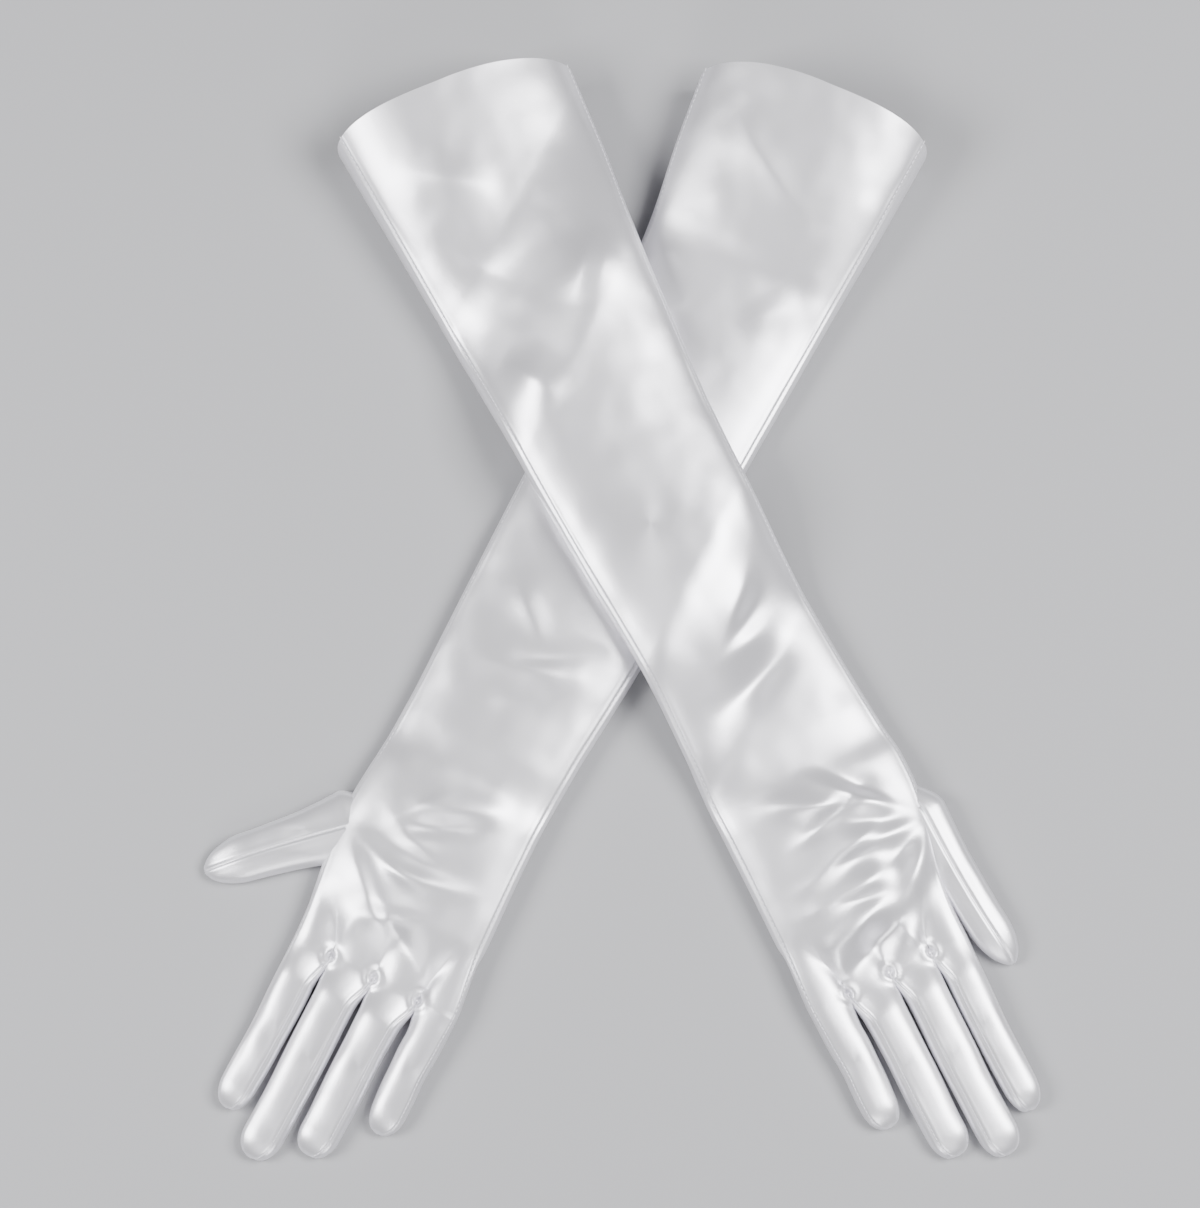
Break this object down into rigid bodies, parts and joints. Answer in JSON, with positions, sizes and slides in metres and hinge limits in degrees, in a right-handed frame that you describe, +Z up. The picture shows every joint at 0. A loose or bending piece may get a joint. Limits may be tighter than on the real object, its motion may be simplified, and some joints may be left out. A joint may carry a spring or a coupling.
{
  "type": "opera gloves",
  "caption": "Long satin opera gloves laid crossed, with flared open cuffs, slim fingers with side gussets and set-in thumbs, for evening or costume wear.",
  "frame": {"origin": "centre of the laid-out pair's footprint, on the table", "axes": "+Z up from the table, +Y towards the cuffs, +X towards the right glove's hand"},
  "size_m": [0.3804, 0.5034, 0.0443],
  "materials": {
    "satin_back": "satin",
    "satin_palm": "satin",
    "satin_fourchette": "satin"
  },
  "bodies": {
    "left_sleeve": {"left_cuff_back": "satin_back", "left_cuff_palm": "satin_palm", "left_forearm_back": "satin_back", "left_forearm_palm": "satin_palm", "left_wrist_back": "satin_back", "left_wrist_palm": "satin_palm"},
    "left_hand": {"left_hand_back": "satin_back", "left_hand_palm": "satin_palm"},
    "left_little": {"left_little_back": "satin_back", "left_little_palm": "satin_palm", "left_little_radial_fourchette": "satin_fourchette"},
    "left_ring": {"left_ring_back": "satin_back", "left_ring_palm": "satin_palm", "left_ring_radial_fourchette": "satin_fourchette", "left_ring_ulnar_fourchette": "satin_fourchette"},
    "left_middle": {"left_middle_back": "satin_back", "left_middle_palm": "satin_palm", "left_middle_radial_fourchette": "satin_fourchette", "left_middle_ulnar_fourchette": "satin_fourchette"},
    "left_index": {"left_index_back": "satin_back", "left_index_palm": "satin_palm", "left_index_ulnar_fourchette": "satin_fourchette"},
    "left_thumb": {"left_thumb_outer": "satin_back", "left_thumb_inner": "satin_palm"},
    "right_sleeve": {"right_cuff_back": "satin_back", "right_cuff_palm": "satin_palm", "right_forearm_back": "satin_back", "right_forearm_palm": "satin_palm", "right_wrist_back": "satin_back", "right_wrist_palm": "satin_palm"},
    "right_hand": {"right_hand_back": "satin_back", "right_hand_palm": "satin_palm"},
    "right_little": {"right_little_back": "satin_back", "right_little_palm": "satin_palm", "right_little_radial_fourchette": "satin_fourchette"},
    "right_ring": {"right_ring_back": "satin_back", "right_ring_palm": "satin_palm", "right_ring_radial_fourchette": "satin_fourchette", "right_ring_ulnar_fourchette": "satin_fourchette"},
    "right_middle": {"right_middle_back": "satin_back", "right_middle_palm": "satin_palm", "right_middle_radial_fourchette": "satin_fourchette", "right_middle_ulnar_fourchette": "satin_fourchette"},
    "right_index": {"right_index_back": "satin_back", "right_index_palm": "satin_palm", "right_index_ulnar_fourchette": "satin_fourchette"},
    "right_thumb": {"right_thumb_outer": "satin_back", "right_thumb_inner": "satin_palm"}
  },
  "joints": [
    {"name": "left_wrist_fold", "type": "hinge", "parent": "left_sleeve", "child": "left_hand", "pos_m": [-0.06666, -0.0747, 0.00825], "axis": [-0.891, 0.454, 0], "range_deg": [0, 60]},
    {"name": "left_little_fold", "type": "hinge", "parent": "left_hand", "child": "left_little", "pos_m": [-0.0859, -0.19285, 0.0065], "axis": [-0.891, 0.454, 0], "range_deg": [0, 60]},
    {"name": "left_ring_fold", "type": "hinge", "parent": "left_hand", "child": "left_ring", "pos_m": [-0.10568, -0.18277, 0.0065], "axis": [-0.891, 0.454, 0], "range_deg": [0, 60]},
    {"name": "left_middle_fold", "type": "hinge", "parent": "left_hand", "child": "left_middle", "pos_m": [-0.12546, -0.17269, 0.0065], "axis": [-0.891, 0.454, 0], "range_deg": [0, 60]},
    {"name": "left_index_fold", "type": "hinge", "parent": "left_hand", "child": "left_index", "pos_m": [-0.14372, -0.16339, 0.0065], "axis": [-0.891, 0.454, 0], "range_deg": [0, 60]},
    {"name": "left_thumb_swing", "type": "hinge", "parent": "left_hand", "child": "left_thumb", "pos_m": [-0.1242, -0.1015, 0.006], "axis": [0, 0, -1], "range_deg": [-18, 8]},
    {"name": "right_glove_lift", "type": "slide", "parent": "left_sleeve", "child": "right_sleeve", "axis": [0, 0, 1], "range_m": [0, 0.12]},
    {"name": "right_wrist_fold", "type": "hinge", "parent": "right_sleeve", "child": "right_hand", "pos_m": [0.07942, -0.07326, 0.0085], "axis": [-0.8965, -0.4431, 0], "range_deg": [0, 60]},
    {"name": "right_little_fold", "type": "hinge", "parent": "right_hand", "child": "right_little", "pos_m": [0.09763, -0.1892, 0.0065], "axis": [-0.8965, -0.4431, 0], "range_deg": [0, 60]},
    {"name": "right_ring_fold", "type": "hinge", "parent": "right_hand", "child": "right_ring", "pos_m": [0.1165, -0.17987, 0.0065], "axis": [-0.8965, -0.4431, 0], "range_deg": [0, 60]},
    {"name": "right_middle_fold", "type": "hinge", "parent": "right_hand", "child": "right_middle", "pos_m": [0.13523, -0.17061, 0.0065], "axis": [-0.8965, -0.4431, 0], "range_deg": [0, 60]},
    {"name": "right_index_fold", "type": "hinge", "parent": "right_hand", "child": "right_index", "pos_m": [0.15276, -0.16195, 0.0065], "axis": [-0.8965, -0.4431, 0], "range_deg": [0, 60]},
    {"name": "right_thumb_swing", "type": "hinge", "parent": "right_hand", "child": "right_thumb", "pos_m": [0.13871, -0.09527, 0.006], "axis": [0, 0, 1], "range_deg": [0, 30]}
  ]
}
